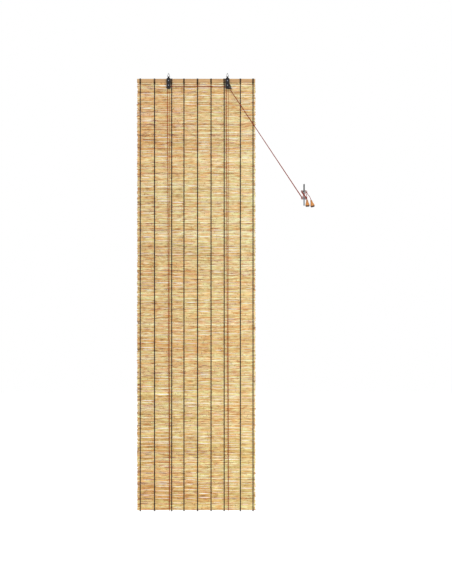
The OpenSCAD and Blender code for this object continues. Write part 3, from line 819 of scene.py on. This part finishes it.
mat_low, mat_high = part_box("reed_mat")
rail_low, rail_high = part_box("head_rail")
mat_y = (mat_low.y + mat_high.y) / 2
warp_xs = [sum(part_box(f"warp_thread_{i}"), Vector()).x / 2 for i in range(1, WARP_COUNT + 1)]
reed_count = round((mat_high.z - mat_low.z) / REED_PITCH)
reed_pitch = (mat_high.z - mat_low.z) / reed_count
reed_numbers = np.arange(reed_count)
reed_zs = mat_high.z - (reed_numbers + 0.5) * reed_pitch
reed_radii = reed_pitch / 2 * rng.uniform(*RADIUS_SHARES, reed_count)
reed_faces = np.where(reed_numbers % 2, 1, -1)
reed_ys = mat_y + REED_STAGGER * reed_faces * rng.uniform(*STAGGER_SHARES, reed_count)


def mat_gaps():
    """The two ends of each see-through gap, listed by the number of the reed below it."""
    low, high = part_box("head_lashing_1")
    margin = high.x - low.x
    gaps = {}
    for bay in range(1, WARP_COUNT):
        start = warp_xs[bay - 1]
        room = warp_xs[bay] - start
        for row in range(GAP_ROWS):
            wander = GAP_WANDER * math.sin(WANDER_TURN * (bay + row * WARP_COUNT))
            reed = round(reed_count * (row + 0.5 + wander) / GAP_ROWS)
            width = room * GAP_SHARES[(row * GAP_STEP + bay) % len(GAP_SHARES)]
            free = room - width - margin
            left = start + margin / 2 + free * (1 + math.sin(WANDER_TURN * row + math.radians(bay))) / 2
            gaps.setdefault(reed, []).append((left, left + width))
    return gaps


gaps_above = mat_gaps()


def reed_joints():
    """Places of one reed's joints, from left to right."""
    first = rng.uniform(mat_low.x + FIRST_JOINT[0], mat_low.x + FIRST_JOINT[1])
    joints = first + np.arange(JOINT_COUNT) * rng.uniform(*JOINT_SPACING)
    return joints[joints < mat_high.x - JOINT_FREE_EDGE]


def reed_stations(joints, gaps, left, right):
    """Places along a reed where it gets a ring, in order."""
    places = [left, right, *warp_xs]
    for a, b in zip(warp_xs, warp_xs[1:]):
        places += [a + (b - a) * share for share in BAY_STATIONS]
    for x in joints:
        places += [x - JOINT_HALF_LENGTH, x, x + JOINT_HALF_LENGTH]
    for a, b in gaps:
        places += np.linspace(a, b, GAP_STATIONS).tolist()
    return np.array(sorted(p for p in places if left <= p <= right))


def gap_wave(xs, gaps):
    """One along the middle of each gap, falling to zero at its ends."""
    wave = np.zeros(len(xs))
    for a, b in gaps:
        wave += np.sin(math.pi * np.clip((xs - a) / (b - a), 0, 1))**0.5
    return wave


def bay_wave(xs, bows):
    """A bow in each bay that is zero at the warp threads."""
    bay = np.clip(np.searchsorted(warp_xs, xs) - 1, -1, WARP_COUNT - 1)
    edges = np.array([mat_low.x - EDGE_BAY, *warp_xs, mat_high.x + EDGE_BAY])
    share = (xs - edges[bay + 1]) / (edges[bay + 2] - edges[bay + 1])
    return bows[bay + 1] * np.sin(math.pi * np.clip(share, 0, 1))


def random_bows():
    return rng.normal(0, REED_BOW, WARP_COUNT + 1)


def reed_line(index):
    """Places of a reed's rings, their radii, and which of them are joints."""
    left = mat_low.x + LEFT_TRIM + rng.normal(0, REED_RAGGED)
    right = mat_high.x + rng.normal(0, REED_RAGGED)
    joints = reed_joints()
    above, below = gaps_above.get(index, []), gaps_above.get(index + 1, [])
    xs = reed_stations(joints, above + below, left, right)
    at_joint = np.min(np.abs(xs[:, None] - joints[None]), axis=1) < JOINT_HALF_LENGTH / 2
    taper = rng.normal(0, REED_TAPER) * (xs - mat_low.x - TAPER_REACH) / TAPER_REACH
    push_down, push_up = gap_wave(xs, above), gap_wave(xs, below)
    radius = reed_radii[index] * (1 + taper) * np.where(at_joint, JOINT_BULGE, 1.0)
    radius = radius * (1 - GAP_THINNING * np.maximum(push_down, push_up))
    ys = reed_ys[index] + bay_wave(xs, random_bows())
    zs = reed_zs[index] + bay_wave(xs, random_bows() * rng.choice(BOW_FACTORS))
    zs = zs + GAP_PUSH * (push_up - push_down)
    return xs, ys, zs, radius, at_joint


def reed_tint(index, ring_x, at_joint):
    """Tone, random seed and the joints' mark of each ring of a reed; painted light makes the tone paler
    towards the right, painted shade makes the ends darker on average with a wide random spread, and the
    ends' insides take the joints' dark colour as painted shade in the hollows.
    """
    tone = np.clip(rng.normal(MEAN_TONE, TONE_SPREAD), *TONE_LIMITS)
    if index < len(FIRST_TONES):
        tone = FIRST_TONES[index]
    # Painted light: paler towards the right
    tone = tone + RIGHTWARD_PAINTED_LIGHT_PER_METRE * (ring_x - (mat_low.x + mat_high.x) / 2)
    # Painted shade at both ends of the reed, darker on average, spread at random
    tone[:END_RINGS] += rng.normal(END_PAINTED_SHADE, END_SPREAD)
    tone[-END_RINGS:] += rng.normal(END_PAINTED_SHADE, END_SPREAD)
    seed = np.full(len(ring_x), rng.uniform())
    tint = np.stack([tone, seed, at_joint.astype(float), np.ones(len(ring_x))], -1)
    # Painted shade inside the hollow ends, drawn with the joints' dark colour
    tint[[0, -1], 2] = 1
    return tint


def one_reed(index):
    """Points, faces and tint of one hollow reed with its joints, taper and bows."""
    xs, ys, zs, radius, at_joint = reed_line(index)
    order = np.r_[0, 0, np.arange(len(xs)), -1, -1]
    ring_x = xs[order]
    ring_x[0] += HOLLOW_DEPTH
    ring_x[-1] -= HOLLOW_DEPTH
    ring_r = radius[order]
    ring_r[[0, 1, -2, -1]] *= HOLLOW_SHARE
    angles = turn_angles(REED_SIDES)
    points = np.stack([np.broadcast_to(ring_x[:, None], (len(ring_x), REED_SIDES)),
                       ys[order][:, None] + ring_r[:, None] * np.cos(angles),
                       zs[order][:, None] + ring_r[:, None] * np.sin(angles)], -1)
    tint = reed_tint(index, ring_x, at_joint[order])
    faces = ring_faces(len(order), REED_SIDES, closed=False)
    return (points.reshape(-1, 3), faces), tint_rows(tint, REED_SIDES)


def add_reeds(material):
    for number, rows in enumerate(np.array_split(reed_numbers, REED_PARTS), 1):
        parts, tints = zip(*[one_reed(row) for row in rows])
        dress(new_object(f"reeds_{number}", parts, material, tints), ROOT, "reed", "reed_mat")


# Threads and rail

def warp_run(x, face):
    """A flat laid thread down one face of the mat, dipping between the reeds, to the knot below it."""
    u = np.arange(WARP_START, reed_count - WARP_END, 1 / WARP_STEPS_PER_REED)
    z = np.interp(u, reed_numbers, reed_zs)
    rise = np.interp(u, reed_numbers, reed_radii + face * (reed_ys - mat_y))
    dip = WARP_DIP * (1 - np.cos(2 * math.pi * u)) / 2
    y = mat_y + face * (rise - dip + WARP_SEAT_SHARE * WARP_HALF_DEPTH)
    path = np.stack([np.full(len(u), x), y, z], -1)
    path = np.vstack([path, [x, mat_y + face * WARP_HALF_DEPTH, mat_low.z - WARP_KNOT_DROP]])
    return twisted_tube(path, mat_high.z - path[:, 2], (2 * WARP_HALF_WIDTH, 2 * WARP_HALF_DEPTH),
                        WARP_SIDES, WARP_STRANDS, WARP_PITCH, WARP_GROOVE)


def add_warp(i, material):
    """A thread down both faces of the mat, tied below it with two short tails."""
    x = warp_xs[i - 1]
    parts, tints = map(list, zip(*[warp_run(x, face) for face in (-1, 1)]))
    knot = np.array([x, mat_y, mat_low.z - WARP_KNOT_DROP])
    parts.append(tube(knot_path(knot, WARP_KNOT_SIZE), KNOT_THREAD_RADIUS, KNOT_SIDES))
    for side in (-1, 1):
        sway = rng.uniform(-TAIL_SWAY, TAIL_SWAY, 2)
        bend = knot + (side * TAIL_SPREAD / 2, sway[0], -TAIL_DROP / 2)
        end = knot + (side * TAIL_SPREAD + sway[1], sway[0], -TAIL_DROP)
        parts.append(tube([knot, bend, end], TAIL_RADII, KNOT_SIDES))
    tints += [np.ones((len(points), 4)) for points, _ in parts[2:]]
    dress(new_object(f"laid_warp_{i}", parts, material, tints), ROOT, "warp_thread", f"warp_thread_{i}")


def add_lashing(i, material):
    """Turns of thick thread round the rail and the first reed."""
    low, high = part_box(f"head_lashing_{i}")
    thickness = rail_low.y - low.y
    middle = (rail_low.y + rail_high.y) / 2
    reach = (high.y - low.y) / 2 - thickness / 2
    foot, foot_z = reach * LASHING_FOOT_SHARE, low.z + thickness / 2
    parts, tints = [], []
    for turn in range(LASHING_TURNS):
        offset = (turn - (LASHING_TURNS - 1) / 2) * thickness * LASHING_SPREAD
        x = (low.x + high.x) / 2 + offset + rng.normal(0, LASHING_LOOSE)
        top = high.z - thickness / 2 + rng.normal(0, LASHING_LOOSE)
        outline = [(x, middle - reach, top), (x, middle + reach, top), (x, middle + reach, rail_low.z),
                   (x, middle + foot, foot_z), (x, middle - foot, foot_z), (x, middle - reach, rail_low.z)]
        path, along = resample(rounded_loop(outline, LASHING_ROUNDING), THREAD_STEP, closed=True)
        part, tint = twisted_tube(path, along, (thickness, thickness), LASHING_SIDES, LASHING_STRANDS,
                                  along[-1] / LASHING_TWISTS, LASHING_GROOVE, closed=True)
        parts.append(part)
        tints.append(tint)
    lashing = new_object(f"bound_lashing_{i}", parts, material, tints)
    dress(lashing, ROOT, "lashing_thread", f"head_lashing_{i}")


def cut_holes(made, cutters):
    """Takes each cutter out of the piece for good."""
    for cutter in cutters:
        hole = made.modifiers.new("hole", "BOOLEAN")
        hole.object, hole.operation, hole.solver = cutter, "DIFFERENCE", "EXACT"
    bpy.context.view_layer.update()
    whole = made.evaluated_get(bpy.context.evaluated_depsgraph_get())
    made.data = bpy.data.meshes.new_from_object(whole)
    made.modifiers.clear()
    for cutter in cutters:
        bpy.data.objects.remove(cutter)
    made.data.shade_smooth()
    made.data.set_sharp_from_angle(angle=math.radians(CUT_SHARP_DEGREES))


def drill(material, centre, y0, y1, r0, r1=None):
    """A round cutter along Y, from radius r0 to r1."""
    line = [(centre[0], y0, centre[1]), (centre[0], y1, centre[1])]
    return new_object("cutter", [tube(line, [r0, r1 or r0], DRILL_SIDES)], material)


def rail_bar(material):
    """A bar with eased edges in the place of the CAD rail."""
    shell = bmesh.new()
    bmesh.ops.create_cube(shell, size=1)
    bmesh.ops.scale(shell, vec=rail_high - rail_low, verts=shell.verts)
    bmesh.ops.translate(shell, vec=(rail_low + rail_high) / 2, verts=shell.verts)
    bmesh.ops.bevel(shell, geom=shell.edges[:], offset=RAIL_BEVEL, segments=RAIL_BEVEL_STEPS,
                    profile=0.5, affect="EDGES")
    mesh = bpy.data.meshes.new("planed_rail")
    shell.to_mesh(mesh)
    shell.free()
    mesh.materials.append(material)
    return linked("planed_rail", mesh)


def add_rail(material):
    """A planed batten, drilled for the rivets and the cord ends."""
    rail = rail_bar(material)
    front, back = rail_low.y - DRILL_OVERRUN, rail_high.y + DRILL_OVERRUN
    holes = []
    for side, route in (("left", LEFT_ROUTE), ("right", RIGHT_ROUTE)):
        rivet_low, rivet_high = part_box(f"{side}_rail_rivet")
        rivet = (rivet_low + rivet_high) / 2
        holes.append(drill(material, (rivet.x, rivet.z), front, back, RIVET_HOLE_RADIUS))
        holes.append(drill(material, (route[0][0], route[0][2]), front, back, CORD_HOLE_RADIUS))
    cut_holes(rail, holes)
    dress(rail, ROOT, "rail_wood", "head_rail")


# Hanging rings and cleat

def add_ring(side, material):
    """Bent wire with three rounded corners."""
    low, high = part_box(f"{side}_ring")
    wire = high.y - low.y
    apex_r, base_r = RING_APEX_RADIUS, RING_BASE_RADIUS
    x = (low.x + high.x) / 2
    corner_x = (high.x - low.x) / 2 - wire / 2 - base_r
    corner_z, apex_z = low.z + wire / 2 + base_r, high.z - wire / 2 - apex_r
    rise = apex_z - corner_z
    lean = math.atan2(corner_x, rise) - math.asin((apex_r - base_r) / math.hypot(corner_x, rise))
    path = []
    for cx, cz, r, start, end in ((x + corner_x, corner_z, base_r, -math.pi / 2, lean),
                                  (x, apex_z, apex_r, lean, math.pi - lean),
                                  (x - corner_x, corner_z, base_r, math.pi - lean, 1.5 * math.pi)):
        for a in np.linspace(start, end, RING_BEND_STEPS):
            path.append((cx + r * math.cos(a), (low.y + high.y) / 2, cz + r * math.sin(a)))
    part = tube(path, wire / 2, RING_SIDES, closed=True, hint=(0, 1, 0))
    ring = new_object(f"{side}_wire_ring", [part], material)
    dress(ring, f"{side}_ring_body", "ring_wire", f"{side}_ring")


def squared(v):
    """A sine or cosine drawn out towards the corners of a square."""
    return np.sign(v) * np.abs(v)**CLEAT_SQUARENESS


def cleat_rows(half, half_w, wall_y):
    """Heights of the cleat's rows, and the half width, the middle and the half depth of each."""
    end_r = ARM_END_SHARE * half_w
    rows = np.sin(np.linspace(-math.pi / 2, math.pi / 2, CLEAT_ROWS)) * half
    off = np.abs(rows)
    t = off / half
    front = wall_y - CLEAT_FRONT_DEPTH - ARM_LEAN * t**2
    thickness = ARM_THICKNESS * (1 - (1 - ARM_TIP_SHARE) * t)
    away = np.clip((off - CLEAT_FOOT_HALF) / CLEAT_FILLET, 0, 1)
    back = wall_y + (front + thickness - wall_y) * np.sin(away * math.pi / 2)
    waist = np.clip((off - CLEAT_FOOT_HALF) / CLEAT_WAIST, 0, 1)
    width = half_w - (half_w - end_r) * waist**2 * (3 - 2 * waist)
    past = np.clip((off - (half - end_r)) / end_r, 0, 1)
    tip = np.sqrt(np.maximum(1 - past**2, ARM_BLUNTNESS))
    return rows, width * tip, (front + back) / 2, (back - front) / 2 * np.sqrt(tip)


def add_cleat(material):
    """A cast cleat: a foot on the wall and two arms that lean forward and narrow to round ends."""
    low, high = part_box("wall_cleat")
    x, z = (low.x + high.x) / 2, (low.z + high.z) / 2
    rows, width, middle, depth = cleat_rows((high.z - low.z) / 2, (high.x - low.x) / 2, high.y)
    angles = turn_angles(CLEAT_SIDES)
    points = np.stack([x + width[:, None] * squared(np.cos(angles)),
                       middle[:, None] + depth[:, None] * squared(np.sin(angles)),
                       np.broadcast_to(z + rows[:, None], (len(rows), CLEAT_SIDES))], -1)
    faces = ring_faces(len(rows), CLEAT_SIDES, closed=False)
    cleat = new_object("cast_cleat", [(points.reshape(-1, 3), faces)], material, outward=True)
    front, back = high.y - CLEAT_FRONT_DEPTH, high.y + DRILL_OVERRUN
    holes = []
    for side in (-1, 1):
        centre = (x, z + side * SCREW_SPACING / 2)
        holes.append(drill(material, centre, front - SCREW_OVERRUN, back, SCREW_RADIUS))
        holes.append(drill(material, centre, front - SINK_OVERRUN, front + SINK_DEPTH, SINK_RADIUS,
                           SCREW_RADIUS))
    cut_holes(cleat, holes)
    dress(cleat, ROOT, "cleat_metal", "wall_cleat")


# The whole blind

def paint_node(name, material):
    """A CAD node whose shape is right keeps it and takes a finished material."""
    mesh = nodes[name].data
    mesh.materials.clear()
    mesh.materials.append(material)


def add_threads():
    warp_thread = cord_material("warp_thread", **WARP_LOOKS)
    lashing_thread = cord_material("lashing_thread", **LASHING_LOOKS)
    for i in range(1, WARP_COUNT + 1):
        add_warp(i, warp_thread)
        add_lashing(i, lashing_thread)


def add_hardware():
    """The rings, and finished materials for the housings and what they hold."""
    ring_wire = metal_material("ring_wire", **RING_LOOKS)
    bright = metal_material("bright_steel", **BRIGHT_LOOKS)
    lock_steel = metal_material("lock_steel", **LOCK_LOOKS)
    black, plastic = paint_material(), plastic_material()
    for side in ("left", "right"):
        add_ring(side, ring_wire)
        paint_node(f"{side}_housing", black)
        paint_node(f"{side}_axle", black)
        paint_node(f"{side}_rail_rivet", bright)
        paint_node(f"{side}_spacer_rivet", bright)
        paint_node(f"{side}_roller", plastic)
    paint_node("lock_roller", lock_steel)


def main():
    add_camera()
    cord = cord_material("laid_cord", **CORD_LOOKS)
    tassel_wood = tassel_material()
    add_lift_cord("left", LEFT_ROUTE, cord, tassel_wood)
    add_lift_cord("right", RIGHT_ROUTE, cord, tassel_wood)
    add_studio()
    add_reeds(reed_material())
    add_threads()
    add_rail(rail_material())
    add_hardware()
    cleat_low, cleat_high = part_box("wall_cleat")
    add_cleat(cleat_material(cleat_low.z, cleat_high.z))


main()
